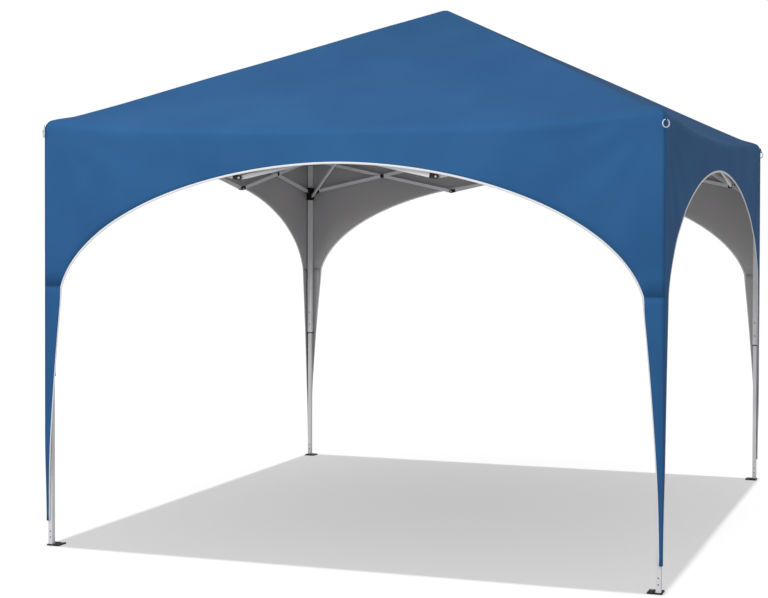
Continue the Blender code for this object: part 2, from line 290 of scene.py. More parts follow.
def fabric_material(name, low, high, roughness, specular):
    """Plain-woven polyester: UVs are in metres, so the weave keeps its real size."""
    made, nodes, links, shader = shader_material(name, high, roughness)
    uv = nodes.new("ShaderNodeUVMap").outputs["UV"]
    clouds = noise_node(nodes, links, uv, scale=2.2, detail=4.0)
    two_tone(nodes, links, clouds, low, high, shader)
    warp = wave_node(nodes, links, uv, WEAVE_PERIOD, "X")
    weft = wave_node(nodes, links, uv, WEAVE_PERIOD, "Y")
    weave = math_node(nodes, links, "MAXIMUM", warp, weft)
    crease = noise_node(nodes, links, uv, scale=7.0, stretch=(1.0, 0.35, 1.0))
    crumple = noise_node(nodes, links, uv, scale=38.0, detail=4.0)
    layers = ((crease, 0.010, 0.16), (crumple, 0.0016, 0.18), (weave, 0.0002, 0.25))
    bump_chain(nodes, links, shader, layers)
    shader.inputs["Specular IOR Level"].default_value = specular
    return made


def binding_material():
    """White tape with two rows of lock stitch. U runs along the tape in metres, V across it from 0 to 1."""
    made, nodes, links, shader = shader_material("white_binding_tape", WHITE_TAPE, 0.75)
    uv = nodes.new("ShaderNodeUVMap").outputs["UV"]
    split = nodes.new("ShaderNodeSeparateXYZ")
    links.new(uv, split.inputs["Vector"])
    along, across = split.outputs["X"], split.outputs["Y"]
    phase = math_node(nodes, links, "MULTIPLY", along, 2 * math.pi / STITCH_LENGTH)
    dash = math_node(nodes, links, "SINE", phase, 0.0)
    dash = math_node(nodes, links, "GREATER_THAN", dash, STITCH_GAP)
    stitches = None
    for row in STITCH_ROWS:
        offset = math_node(nodes, links, "SUBTRACT", across, row)
        away = math_node(nodes, links, "ABSOLUTE", offset, 0.0)
        line = math_node(nodes, links, "LESS_THAN", away, STITCH_HALF)
        line = math_node(nodes, links, "MULTIPLY", line, dash)
        stitches = line if stitches is None else math_node(nodes, links, "MAXIMUM", stitches, line)
    rib = wave_node(nodes, links, uv, TAPE_RIB, "X")
    two_tone(nodes, links, stitches, WHITE_TAPE, THREAD, shader, ends=(0.2, 0.8))
    bump_chain(nodes, links, shader, ((rib, 0.0002, 0.3), (stitches, 0.0004, 0.6)))
    return made


def steel_material():
    """Light grey powder coat: fine orange peel, a few rubbed patches."""
    made, nodes, links, shader = shader_material("powder_coated_steel", STEEL, 0.36)
    place = nodes.new("ShaderNodeTexCoord").outputs["Object"]
    rubbed = noise_node(nodes, links, place, scale=6.0, detail=5.0)
    two_tone(nodes, links, rubbed, shaded(STEEL, 0.90), STEEL, shader, ends=(0.30, 0.55))
    peel = noise_node(nodes, links, place, scale=420.0, detail=2.0)
    bump_chain(nodes, links, shader, ((peel, 0.0003, 0.22),))
    return made


def plastic_material():
    """Moulded black nylon with a fine spark-eroded grain."""
    made, nodes, links, shader = shader_material("black_nylon", BLACK, 0.50)
    shader.inputs["Specular IOR Level"].default_value = 0.28
    place = nodes.new("ShaderNodeTexCoord").outputs["Object"]
    dust = noise_node(nodes, links, place, scale=14.0, detail=5.0)
    two_tone(nodes, links, dust, BLACK, shaded(BLACK, 2.4), shader, ends=(0.45, 0.80))
    grain = noise_node(nodes, links, place, scale=900.0, detail=2.0)
    bump_chain(nodes, links, shader, ((grain, 0.0002, 0.35),))
    return made


def zinc_material():
    """Zinc plating with its cloudy spangle."""
    made, nodes, links, shader = shader_material("zinc_plated_steel", ZINC, 0.30, 0.85)
    place = nodes.new("ShaderNodeTexCoord").outputs["Object"]
    cloud = noise_node(nodes, links, place, scale=55.0, detail=4.0)
    two_tone(nodes, links, cloud, shaded(ZINC, 0.78), ZINC, shader)
    bump_chain(nodes, links, shader, ((cloud, 0.0002, 0.2),))
    return made


def ring_material():
    """Bright nickel-plated wire, pale enough to read as white in flat light."""
    made, nodes, links, shader = shader_material("bright_ring_wire", RING_WIRE, 0.34)
    place = nodes.new("ShaderNodeTexCoord").outputs["Object"]
    cloud = noise_node(nodes, links, place, scale=90.0)
    two_tone(nodes, links, cloud, RING_DULL, RING_BRIGHT, shader)
    bump_chain(nodes, links, shader, ((cloud, 0.0002, 0.2),))
    return made


outside = fabric_material("blue_polyester_outside", DEEP_BLUE, BLUE, roughness=0.62, specular=0.08)
inside = fabric_material("silver_coating_inside", shaded(SILVER, 0.93), SILVER, roughness=0.60, specular=0.15)
tape = binding_material()
steel = steel_material()
plastic = plastic_material()
zinc = zinc_material()
ring_metal = ring_material()


# Shared shape helpers

def add_piece(name, bm, materials, body, smooth=True):
    mesh = bpy.data.meshes.new(name)
    for face in bm.faces:
        face.smooth = smooth
    bm.to_mesh(mesh)
    bm.free()
    made = bpy.data.objects.new(name, mesh)
    bpy.context.collection.objects.link(made)
    for item in materials:
        mesh.materials.append(item)
    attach(made, body)
    return made


def clamp(value, low=0.0, high=1.0):
    return max(low, min(high, value))


def smooth_step(value, start, end):
    share = clamp((value - start) / (end - start))
    return share * share * (3 - 2 * share)


def follow_weights(point):
    """How much each moving body carries a point of the fabric. What is left over stays with the hub."""
    from_hub = clamp(max(abs(point.x), abs(point.y)) / HALF)
    rim = max(from_hub, LEAST_REACH)
    x = clamp((point.x / rim + HALF) / (2 * HALF))
    y = clamp((point.y / rim + HALF) / (2 * HALF))
    lowered = clamp((BEND_Z - point.z) / (BEND_Z - TIP_Z))
    shares = {"a": (1 - x) * (1 - y), "b": x * (1 - y), "c": x * y, "d": (1 - x) * y}
    weights = {}
    for corner, share in shares.items():
        weights[f"leg_{corner}"] = share * from_hub * (1 - lowered)
        weights[f"inner_leg_{corner}"] = share * from_hub * lowered
    return weights


def hang_on_frame(piece):
    """Hooks every point of a fabric piece to the bodies that carry it."""
    groups = {}
    for vertex in piece.data.vertices:
        for body, weight in follow_weights(vertex.co).items():
            if weight > LEAST_WEIGHT:
                if body not in groups:
                    groups[body] = piece.vertex_groups.new(name=body)
                groups[body].add([vertex.index], weight, "REPLACE")
    for body in groups:
        hook = piece.modifiers.new(f"follow_{body}", "HOOK")
        hook.object = frame["bodies"][body]
        hook.vertex_group = body
        hook.strength = 1.0
        hook.falloff_type = "NONE"


def thicken(piece):
    """Gives the cloth its thickness, with the second material on its inner face."""
    shell = piece.modifiers.new("cloth_thickness", "SOLIDIFY")
    shell.thickness = CLOTH_THICK
    shell.offset = -1.0
    shell.material_offset = 1
    shell.material_offset_rim = 0


# Cover shape

def hip_height(inset):
    """Height of the hip above the eave, at an inset from both of its sides."""
    for (x0, z0), (x1, z1) in zip(HIP_PROFILE, HIP_PROFILE[1:]):
        if inset <= x1:
            return z0 + (z1 - z0) * max(inset - x0, 0.0) / (x1 - x0)
    return HIP_PROFILE[-1][1]


def soft_hip_height(inset):
    """The hip's profile with its bends rounded, as fabric bends."""
    reach = HIP_BLUR * min(inset, HIP_BLUR_END)
    samples = [hip_height(inset + reach * k / HIP_SAMPLES) for k in range(-HIP_SAMPLES, HIP_SAMPLES + 1)]
    return sum(samples) / len(samples)


def roof_z(inset, share):
    """Height of the roof: inset from the eave, share of the half side from its middle."""
    middle = -EAVE_SAG + (PEAK_Z - EAVE_Z + EAVE_SAG) * inset / (HALF - CROWN_HALF)
    if inset < EAVE_ROUNDING:
        cut = 1 - math.sqrt(1 - (1 - inset / EAVE_ROUNDING) ** 2)
        middle -= EAVE_ROUNDING * cut * (1 - abs(share) ** 6)
    z = EAVE_Z + middle + (soft_hip_height(inset) - middle) * share**2
    if inset > HALF - CROWN_HALF:
        past = inset - (HALF - CROWN_HALF)
        z -= CROWN_ROUNDING * (past / CROWN_HALF) ** 3
    return z


def arch_z(u):
    """Height of the arched edge at a distance u from the middle of a side."""
    across = min(abs(u), HALF - BEND_INSET) / ARCH_HALF_WIDTH
    return ARCH_TOP_Z - ARCH_HALF_HEIGHT * (1 - math.sqrt(1 - across**ARCH_POWER))


BEND_Z = arch_z(HALF - BEND_INSET)


def sleeve_width(z):
    """Width of each of the sleeve's two faces at a height."""
    share = clamp((z - TIP_Z) / (BEND_Z - TIP_Z))
    return TIP_WIDTH + (BEND_INSET - TIP_WIDTH) * share**SLEEVE_POWER


def side_frame(index):
    """A side's direction and its outward normal, going round a, b, c, d."""
    first = Vector((*CORNERS[AROUND[index]], 0.0))
    last = Vector((*CORNERS[AROUND[(index + 1) % 4]], 0.0))
    along = (last - first).normalized()
    out = (first + last).normalized()
    return along, out


def lean_in(index, u, z):
    """The sleeve's lower end draws in towards the leg that it wraps."""
    if z > LEAN_START_Z:
        return Vector((0, 0, 0))
    along, out = side_frame(index)
    return -(along * math.copysign(1, u) + out) * LEAN * smooth_step(-z, -LEAN_START_Z, -TIP_Z)


def fold_ripple(index, u, z):
    """Shallow tension folds that run from each eave corner down and across the fabric, in metres outward."""
    total = 0.0
    for end in (-1, 1):
        across = HALF - end * u
        down = EAVE_Z + FOLD_CENTRE_RISE - z
        away = math.hypot(across, down)
        angle = math.atan2(down, across)
        reach = smooth_step(across, *FOLD_STARTS_ACROSS) * math.exp(-away / FOLD_FADE)
        phase = FOLD_PHASES[0] * index + FOLD_PHASES[1] * end
        total += reach * math.sin(FOLD_TURN * angle + phase) * smooth_step(away, *FOLD_STARTS_AWAY)
    at = Vector((u * SLOW_RATE[0], z * SLOW_RATE[1], SLOW_RATE[2] * index + SLOW_SEED))
    slow = noise.noise(at)
    edge = smooth_step(HALF - abs(u), *SLOW_EDGE)
    return FOLD_DEPTH * (FOLD_SHARE * total + SLOW_SHARE * slow * edge)


def wall_point(index, u, z):
    """A point of a wall: its folds are shallower at the arch's hem and right under the eave."""
    along, out = side_frame(index)
    hem = smooth_step(z - arch_z(u), 0.0, HEM_HEIGHT) * (1 - HEM_SHARE) + HEM_SHARE
    top = 1 - smooth_step(z, EAVE_Z - EAVE_BAND[0], EAVE_Z + EAVE_BAND[1])
    offset = fold_ripple(index, u, z) * hem * (EAVE_SHARE + (1 - EAVE_SHARE) * top)
    return along * u + out * (HALF + offset) + Vector((0, 0, z))


def roof_point(index, share, inset):
    """A point of the roof: inset from the eave, share of the half side from its middle."""
    along, out = side_frame(index)
    size = HALF - inset
    point = along * (share * size) + out * size + Vector((0, 0, roof_z(inset, share)))
    calm = smooth_step(inset, *CALM_EAVE) * smooth_step(size, *CALM_PEAK)
    swell = noise.noise(Vector((point.x * SWELL_RATE, point.y * SWELL_RATE, SWELL_SEED)))
    to_hip = (1 - abs(share)) * size
    crease = math.sin(CREASE_RATE * to_hip + CREASE_TURN * size) * math.exp(-to_hip / CREASE_WIDTH)
    crease *= math.exp(-inset / CREASE_FADE)
    point.z += calm * (SWELL * swell + CREASE * crease)
    return point


def side_columns():
    """Distances from the middle of a side, from one corner to the other, denser near the corners."""
    bend = HALF - BEND_INSET
    near = [HALF - BEND_INSET * k / CORNER_COLUMNS for k in range(CORNER_COLUMNS)]
    turns = [math.pi / 2 * (ARCH_COLUMNS - k) / ARCH_COLUMNS for k in range(ARCH_COLUMNS)]
    half = near + [bend * math.sin(turn) for turn in turns]
    return [-u for u in half] + [0.0] + half[::-1]


COLUMNS = side_columns()
SLEEVE_ROWS = [TIP_Z + (BEND_Z - TIP_Z) * (k / SLEEVE_STEPS) for k in range(SLEEVE_STEPS + 1)]
ROOF_INSETS = (
    [0.0, 0.0015, 0.004, 0.008, 0.013, 0.018, 0.024, 0.034, 0.047, 0.065, 0.097, 0.14, 0.19, 0.25]
    + [0.25 + 0.10 * k for k in range(1, 12)]
    + [1.42, 1.455, 1.475, 1.487, 1.495]
)


def build_cover():
    """Roof and the four arched panels, one sewn sheet down to the sleeves' seam."""
    bm = bmesh.new()
    uv = bm.loops.layers.uv.new("metres")
    shares = [u / HALF for u in COLUMNS[:-1]]
    place = {}

    def add(point, flat):
        vertex = bm.verts.new(point)
        place[vertex] = flat
        return vertex

    rows = []
    for step in range(WALL_ROWS + 1):
        row = []
        for index in range(4):
            for share in shares:
                u = share * HALF
                top = roof_z(0.0, share)
                low = arch_z(u)
                height = low + (top - low) * (step / WALL_ROWS) ** WALL_ROW_POWER
                row.append(add(wall_point(index, u, height), (u, height - EAVE_Z)))
        rows.append(row)
    for inset in ROOF_INSETS[1:]:
        row = []
        for index in range(4):
            for share in shares:
                flat = (share * (HALF - inset), inset * ROOF_UV_STRETCH)
                row.append(add(roof_point(index, share, inset), flat))
        rows.append(row)
    count = len(rows[0])

    def side_uv(vertex, index, last_column):
        u, v = place[vertex]
        if last_column:
            u = -u
        return (u + SIDE_UV_STEP * index, v)

    per_side = len(shares)
    for lower, upper in zip(rows, rows[1:]):
        for i in range(count):
            j = (i + 1) % count
            index = i // per_side
            wraps = j // per_side != index
            face = bm.faces.new((lower[i], lower[j], upper[j], upper[i]))
            for loop, last in zip(face.loops, (False, wraps, wraps, False)):
                loop[uv].uv = side_uv(loop.vert, index, last)
    peak = add(Vector((0, 0, roof_z(HALF, 0.0))), (0.0, HALF * ROOF_UV_STRETCH))
    for i in range(count):
        j = (i + 1) % count
        face = bm.faces.new((rows[-1][i], rows[-1][j], peak))
        for loop in face.loops:
            loop[uv].uv = side_uv(loop.vert, i // per_side, False)
    area = sum(face.calc_area() for face in bm.faces)
    made = add_piece("cover", bm, (outside, inside), ROOT)
    hang_on_frame(made)
    thicken(made)
    return made, area


def strip(name, sections, materials, body=ROOT, smooth=True):
    """A long piece from cross-sections, each a list of (point, uv)."""
    bm = bmesh.new()
    uv = bm.loops.layers.uv.new("metres")
    rings = [[(bm.verts.new(p), q) for p, q in section] for section in sections]
    size = len(rings[0])
    for first, second in zip(rings, rings[1:]):
        for i in range(size):
            j = (i + 1) % size
            corners = (first[i], first[j], second[j], second[i])
            face = bm.faces.new([v for v, _ in corners])
            for loop, (_, flat) in zip(face.loops, corners):
                loop[uv].uv = flat
    for ring, turn in ((rings[0], -1), (rings[-1], 1)):
        bm.faces.new([v for v, _ in ring][::turn])
    bmesh.ops.recalc_face_normals(bm, faces=bm.faces)
    return add_piece(name, bm, materials, body, smooth)


def corner_sides(corner):
    """The sides before and after a corner, going round a, b, c, d."""
    at = AROUND.index(corner)
    return (at - 1) % 4, at


def build_sleeve(corner):
    """The tapered sleeve below the seam: two faces that meet on the corner's fold line."""
    before, after = corner_sides(corner)
    bm = bmesh.new()
    uv = bm.loops.layers.uv.new("metres")
    rows = []
    parts = SLEEVE_COLUMNS
    for z in SLEEVE_ROWS:
        width = sleeve_width(z)
        row = []
        for k in range(-parts, parts + 1):
            distance = width * abs(k) / parts
            index, u = (before, HALF - distance) if k < 0 else (after, -HALF + distance)
            along, out = side_frame(index)
            bow = SLEEVE_BOW * math.sin(math.pi * abs(k) / parts)
            bow *= BOW_STEADY + (1 - BOW_STEADY) * math.sin(BOW_RATE * z + after)
            point = along * u + out * (HALF + bow) + Vector((0, 0, z)) + lean_in(index, u, z)
            flat_u = distance * (1 if k > 0 else -1) + SLEEVE_UV_START + after
            row.append((bm.verts.new(point), (flat_u, z)))
        rows.append(row)
    for lower, upper in zip(rows, rows[1:]):
        for k in range(2 * parts):
            corners = (lower[k], lower[k + 1], upper[k + 1], upper[k])
            face = bm.faces.new([v for v, _ in corners])
            for loop, (_, flat) in zip(face.loops, corners):
                loop[uv].uv = flat
    area = sum(face.calc_area() for face in bm.faces)
    made = add_piece(f"sleeve_{corner}", bm, (outside, inside), ROOT)
    hang_on_frame(made)
    thicken(made)
    return made, area


SEAM_PROFILE = (
    (-SEAM_HALF, 0.0), (-SEAM_HALF / 2, SEAM_PROUD), (SEAM_HALF / 2, SEAM_PROUD),
    (SEAM_HALF, 0.0), (SEAM_HALF, SEAM_SUNK), (-SEAM_HALF, SEAM_SUNK),
)


def build_sleeve_seam(corner):
    """The folded seam where the sleeve is sewn to the cover, a thin welt on the outside."""
    before, after = corner_sides(corner)
    sections = []
    reach = BEND_INSET - BINDING_WIDTH
    for k in range(-SEAM_STEPS, SEAM_STEPS + 1):
        distance = reach * abs(k) / SEAM_STEPS
        index, u = (before, HALF - distance) if k < 0 else (after, -HALF + distance)
        along, out = side_frame(index)
        sideways = out
        if k == 0:
            sideways = side_frame(before)[1] + side_frame(after)[1]
        base = along * u + out * HALF
        flat = k / SEAM_STEPS * reach
        section = []
        for up, away in SEAM_PROFILE:
            point = base + sideways * away + Vector((0, 0, BEND_Z + up))
            section.append((point, (flat, up + SEAM_UV_START)))
        sections.append(section)
    made = strip(f"sleeve_seam_{corner}", sections, (outside,))
    hang_on_frame(made)
    return made


def edge_path(index):
    """The white edge of one side: up one sleeve, over the arch and down the other, as (u, z)."""
    left = [(-HALF + sleeve_width(z), z) for z in SLEEVE_ROWS[:-1]]
    bend = HALF - BEND_INSET
    places = [-bend * math.cos(math.pi * k / ARCH_EDGE_STEPS) for k in range(ARCH_EDGE_STEPS + 1)]
    arch = [(u, arch_z(u)) for u in places]
    right = [(-u, z) for u, z in reversed(left)]
    return left + arch + right


def build_binding(index, name):
    """White tape folded over the fabric's edge."""
    path = edge_path(index)
    along, out = side_frame(index)
    sections = []
    travelled = 0.0
    for k, (u, z) in enumerate(path):
        u0, z0 = path[max(k - 1, 0)]
        u1, z1 = path[min(k + 1, len(path) - 1)]
        run = math.hypot(u1 - u0, z1 - z0)
        inward = Vector((-(z1 - z0) / run, (u1 - u0) / run))
        if k:
            travelled += math.hypot(u - u0, z - z0)
        narrowing = smooth_step(BEND_Z - z, 0.0, BINDING_NARROWING)
        room = BINDING_WIDTH + (SLEEVE_BINDING_WIDTH - BINDING_WIDTH) * narrowing
        face = 0.0 if z < BEND_Z else fold_ripple(index, u, z) * BINDING_FOLD_SHARE
        outer, inner = BINDING_THICK, -CLOTH_THICK - BINDING_THICK
        profile = (
            (room, outer * 0.5, 0.0), (room * 0.9, outer, 0.1),
            (0.0, outer, 0.9), (-BINDING_EDGE, 0.0, 1.0),
            (-BINDING_EDGE, inner + outer, 1.0), (0.0, inner, 0.9),
            (room * 0.9, inner, 0.1), (room, inner * 0.7, 0.0),
        )
        section = []
        for depth, away, across in profile:
            place_u, place_z = u + inward.x * depth, z + inward.y * depth
            point = along * place_u + out * (HALF + face + away) + Vector((0, 0, place_z))
            point += lean_in(index, u, z)
            section.append((point, (travelled, across)))
        sections.append(section)
    made = strip(f"{name}_binding", sections, (tape,))
    hang_on_frame(made)
    return made


ROD_SIDES = 8


def closed_rod(name, points, radius, material, body):
    """A round rod bent to a closed loop, as a mesh."""
    bm = bmesh.new()
    loops = []
    count = len(points)
    turns = [2 * math.pi * i / ROD_SIDES for i in range(ROD_SIDES)]
    for k, point in enumerate(points):
        direction = (points[(k + 1) % count] - points[k - 1]).normalized()
        side = direction.orthogonal() if k == 0 else last - direction * last.dot(direction)
        side.normalize()
        last = side
        other = direction.cross(side)
        spokes = [(side * math.cos(turn) + other * math.sin(turn)) * radius for turn in turns]
        loops.append([bm.verts.new(point + spoke) for spoke in spokes])
    for k in range(count):
        first, second = loops[k], loops[(k + 1) % count]
        shift = 0
        if k == count - 1:
            shift = min(range(ROD_SIDES), key=lambda s: (first[0].co - second[s].co).length)
        for i in range(ROD_SIDES):
            j = (i + 1) % ROD_SIDES
            ahead = (second[(j + shift) % ROD_SIDES], second[(i + shift) % ROD_SIDES])
            bm.faces.new((first[i], first[j], *ahead))
    bmesh.ops.recalc_face_normals(bm, faces=bm.faces)
    add_piece(name, bm, (material,), body)


SMALL_ROUND = 14
LARGE_ROUND = 24


def lathe(bm, profile, matrix, segments=SMALL_ROUND):
    """Turns (radius, height) points round the matrix's Z axis and adds them to a mesh."""
    rings = []
    turns = [2 * math.pi * i / segments for i in range(segments)]
    for radius, height in profile:
        if radius == 0.0:
            rings.append([bm.verts.new(matrix @ Vector((0, 0, height)))])
            continue
        places = [Vector((radius * math.cos(t), radius * math.sin(t), height)) for t in turns]
        rings.append([bm.verts.new(matrix @ place) for place in places])
    for low, high in zip(rings, rings[1:]):
        for i in range(segments):
            j = (i + 1) % segments
            corners = [low[i % len(low)], low[j % len(low)], high[j % len(high)], high[i % len(high)]]
            unique = list(dict.fromkeys(corners))
            if len(unique) > 2:
                bm.faces.new(unique)


def pointing(origin, axis):
    """A frame whose Z runs along the axis."""
    turn = Vector((0, 0, 1)).rotation_difference(axis).to_matrix().to_4x4()
    return Matrix.Translation(origin) @ turn


STADIUM_STEPS = 8
BEVEL_ANGLE = math.radians(40)
CAP_LENGTH = 0.030
CAP_PROUD = 0.0010
CAP_SUNK = 0.0004
CAP_EDGE = 0.0009
RIVET_PROFILE = (
    (0.0, 0.0026), (0.0030, 0.0024), (0.0048, 0.0015), (0.0055, 0.0007),
    (0.0068, 0.0005), (0.0068, -0.0006), (0.0, -0.0006),
)
COVER_CAP_PROFILE = (
    (0.0, 0.0042), (0.0060, 0.0040), (0.0105, 0.0030), (0.0130, 0.0014), (0.0135, 0.0),
    (0.0135, -0.0004), (0.0, -0.0004),
)


def add_rivets(name, body, places):
    """Domed rivet heads, each at (point, outward axis)."""
    bm = bmesh.new()
    for point, axis in places:
        lathe(bm, RIVET_PROFILE, pointing(point, axis))
    bmesh.ops.recalc_face_normals(bm, faces=bm.faces)
    add_piece(name, bm, (zinc,), body)


def stadium(bm, matrix, length, radius, low, high):
    """A block with one half-round end at the matrix's origin; X runs along it and Y is its thickness."""
    outline = [(length, -radius), (0.0, -radius)]
    for k in range(1, STADIUM_STEPS):
        angle = -math.pi / 2 - math.pi * k / STADIUM_STEPS
        outline.append((radius * math.cos(angle), radius * math.sin(angle)))
    outline += [(0.0, radius), (length, radius)]
    lower = [bm.verts.new(matrix @ Vector((x, low, z))) for x, z in outline]
    upper = [bm.verts.new(matrix @ Vector((x, high, z))) for x, z in outline]
    bm.faces.new(lower)
    bm.faces.new(upper[::-1])
    for i in range(len(outline)):
        j = (i + 1) % len(outline)
        bm.faces.new((lower[i], upper[i], upper[j], lower[j]))


def soften(piece, width, segments=2):
    """Rounds a piece's sharp edges."""
    bevel = piece.modifiers.new("soft_edges", "BEVEL")
    bevel.width = width
    bevel.segments = segments
    bevel.limit_method = "ANGLE"
    bevel.angle_limit = BEVEL_ANGLE


def bar_frame(origin, along, layer):
    """A frame with X along a bar and Y across its thickness."""
    x = along.normalized()
    y = layer.normalized()
    turn = Matrix((x, y, x.cross(y))).transposed().to_4x4()
    return Matrix.Translation(origin) @ turn


def dress_bar(body, start, end, middle, layer, face_sign):
    """Plastic caps over a bar's ends and its middle pivot, rivet heads in the end caps."""
    along = (end - start).normalized()
    free = layer * face_sign
    heads = [(p + free * (BAR_THICK / 2 + CAP_PROUD), free) for p in (start, end)]
    add_rivets(f"rivets_{body}", body, heads)
    bm = bmesh.new()
    lathe(bm, COVER_CAP_PROFILE, pointing(middle + free * BAR_THICK / 2, free), LARGE_ROUND)
    low, high = sorted((face_sign * (BAR_THICK / 2 + CAP_PROUD), -face_sign * (BAR_THICK / 2 - CAP_SUNK)))
    for origin, direction in ((start, along), (end, -along)):
        at = bar_frame(origin, direction, layer)
        stadium(bm, at, CAP_LENGTH, BAR_HIGH / 2 + CAP_PROUD, low, high)
    bmesh.ops.recalc_face_normals(bm, faces=bm.faces)
    caps = add_piece(f"end_caps_{body}", bm, (plastic,), body, smooth=False)
    soften(caps, CAP_EDGE)


def dress_sides():
    """The scissor bars of each side: each bay has a falling bar outside and a climbing bar inside."""
    for side, (start, end) in SIDES.items():
        first = Vector((*CORNERS[start], 0.0)) * LEG
        last = Vector((*CORNERS[end], 0.0)) * LEG
        along = (last - first).normalized()
        inward = -(first + last).normalized()
        for bay in range(BAYS):
            near = first + along * (SIDE_PIVOT_OUT + bay * BAY)
            far = near + along * BAY
            middle = (near + far) / 2 + UP * (TOP_PIVOT_Z + LOW_PIVOT_Z) / 2
            falling = [near + UP * TOP_PIVOT_Z, far + UP * LOW_PIVOT_Z, middle]
            falling = [point + inward * OUTER_LAYER for point in falling]
            dress_bar(f"{side}_falling_bar_{bay + 1}", *falling, inward, -1)
            climbing = [near + UP * LOW_PIVOT_Z, far + UP * TOP_PIVOT_Z, middle]
            climbing = [point + inward * INNER_LAYER for point in climbing]
            dress_bar(f"{side}_climbing_bar_{bay + 1}", *climbing, inward, 1)


def dress_ribs():
    """Rivet heads at the pivots of the ribs and the roof struts."""
    reach = (math.sqrt(2) * LEG - RIB_PIVOT_OUT - HUB_ARM - OUTER_RIB) / math.cos(INNER_RIB_ANGLE)
    half = BAR_THICK / 2
    for corner, (sx, sy) in CORNERS.items():
        inward = Vector((-sx, -sy, 0)).normalized()
        sideways = UP.cross(inward)
        root = Vector((sx * LEG, sy * LEG, 0.0)) + inward * RIB_PIVOT_OUT + UP * TOP_PIVOT_Z
        knee = root + inward * OUTER_RIB
        rise = inward * math.cos(INNER_RIB_ANGLE) + UP * math.sin(INNER_RIB_ANGLE)
        outer_heads = [(root + sideways * half, sideways), (knee - sideways * half, -sideways)]
        add_rivets(f"rivets_outer_rib_{corner}", f"outer_rib_{corner}", outer_heads)
        inner_start = knee + sideways * INNER_RIB_OFFSET
        inner_end = inner_start + rise * reach
        inner_heads = [(point + sideways * half, sideways) for point in (inner_start, inner_end)]
        add_rivets(f"rivets_inner_rib_{corner}", f"inner_rib_{corner}", inner_heads)
        strut_low = root + UP * (STRUT_Z - TOP_PIVOT_Z) - sideways * STRUT_OFFSET
        strut_high = root + inward * STRUT_REACH - sideways * STRUT_OFFSET
        heads = [(point - sideways * STRUT_THICK / 2, -sideways) for point in (strut_low, strut_high)]
        add_rivets(f"rivets_roof_strut_{corner}", f"roof_strut_{corner}", heads)


BUTTON_Z = (0.953, 0.873)
FOOT_HOLES_Z = (0.040, 0.068)
BUTTON_SUNK = 0.0012
COLLAR_HEIGHT = 0.0055
COLLAR_EDGE = 0.0005
COLLAR_PROFILE = (
    (LEG_HALF + 0.0001, 0.0), (LEG_HALF + 0.0014, 0.0),
    (LEG_HALF + 0.0014, COLLAR_HEIGHT), (LEG_HALF + 0.0001, COLLAR_HEIGHT + 0.001),
)
FOOT_PLATE = 0.006
PEG_HOLE_INSET = 0.037
RIM_PROFILE = ((0.0058, -0.0002), (0.0058, 0.00012), (0.0042, 0.00012), (0.0042, -0.0002))
BUTTON_PROFILE = ((0.0, 0.0014), (0.0022, 0.0013), (0.0036, 0.0008), (0.0040, 0.0), (0.0, 0.0))
# The adjusting holes are thin black discs: painted shade for the dark insides of the holes.
HOLE_SHADE_PROFILE = ((0.0, 0.00006), (0.0026, 0.00006), (0.0029, 0.0002), (0.0032, 0.0), (0.0032, -0.0004))
EYELET_PROFILE = ((0.0035, -0.001), (0.0035, 0.001), (0.0060, 0.001), (0.0066, 0.0), (0.0066, -0.001))


def add_collar(corner, centre):
    """The plastic lip round the outer leg's lower end."""
    bm = bmesh.new()
    rings = []
    for half, rise in COLLAR_PROFILE:
        ring = []
        for a, b in SQUARE:
            ring.append(bm.verts.new(centre + Vector((half * a, half * b, LEG_LOW_Z + rise))))
        rings.append(ring)
    for k in range(4):
        low, high = rings[k], rings[(k + 1) % 4]
        for i in range(4):
            j = (i + 1) % 4
            bm.faces.new((low[i], low[j], high[j], high[i]))
    bmesh.ops.recalc_face_normals(bm, faces=bm.faces)
    collar = add_piece(f"leg_collar_{corner}", bm, (plastic,), f"leg_{corner}", smooth=False)
    soften(collar, COLLAR_EDGE)


def add_turned(name, profile, places, material, body):
    """Small turned pieces in one mesh, each at (point, axis)."""
    bm = bmesh.new()
    for point, axis in places:
        lathe(bm, profile, pointing(point, axis))
    add_piece(name, bm, (material,), body)


def dress_legs():
    """Collar at the outer leg's end, snap buttons, adjusting holes drawn as black discs of painted shade, and
    foot fittings.
    """
    for corner, (sx, sy) in CORNERS.items():
        centre = Vector((sx * LEG, sy * LEG, 0.0))
        leg, inner_leg = f"leg_{corner}", f"inner_leg_{corner}"
        add_collar(corner, centre)
        inward = Vector((0, -sy, 0))
        rims = [(centre + inward * LEG_HALF + UP * z, inward) for z in BUTTON_Z]
        add_turned(f"button_rims_{corner}", RIM_PROFILE, rims, plastic, leg)
        buttons = [(centre + inward * (LEG_HALF - BUTTON_SUNK) + UP * z, inward) for z in BUTTON_Z]
        add_turned(f"snap_buttons_{corner}", BUTTON_PROFILE, buttons, zinc, inner_leg)
        # Black plastic discs stand in for the holes: painted shade of their dark insides.
        holes = [
            (centre + face * INNER_HALF + UP * z, face)
            for face in (Vector((0, -1, 0)), Vector((0, 1, 0))) for z in FOOT_HOLES_Z
        ]
        add_turned(f"height_holes_{corner}", HOLE_SHADE_PROFILE, holes, plastic, inner_leg)
        peg_hole = Vector((sx * (LEG - PEG_HOLE_INSET), sy * (LEG - PEG_HOLE_INSET), FOOT_PLATE))
        add_turned(f"peg_eyelet_{corner}", EYELET_PROFILE, [(peg_hole, UP)], zinc, inner_leg)


RING_RADIUS = 0.0166
RING_ROD = 0.0025
RING_STEPS = 36
RING_TOP_Z = 1.989
RING_OUT = 0.0052
TAB_WIDTH = 0.008
TAB_THICK = 0.0011
TAB_CLEARANCE = 0.0004
TAB_PROFILE = (
    (0.0, 0.024, 0.0), (0.0018, 0.014, 0.012), (0.0040, 0.008, 0.022), (0.0078, 0.003, 0.028),
    (0.0086, -0.001, 0.032), (0.0062, -0.0044, 0.036), (0.0026, -0.0042, 0.040), (0.0008, 0.001, 0.045),
)


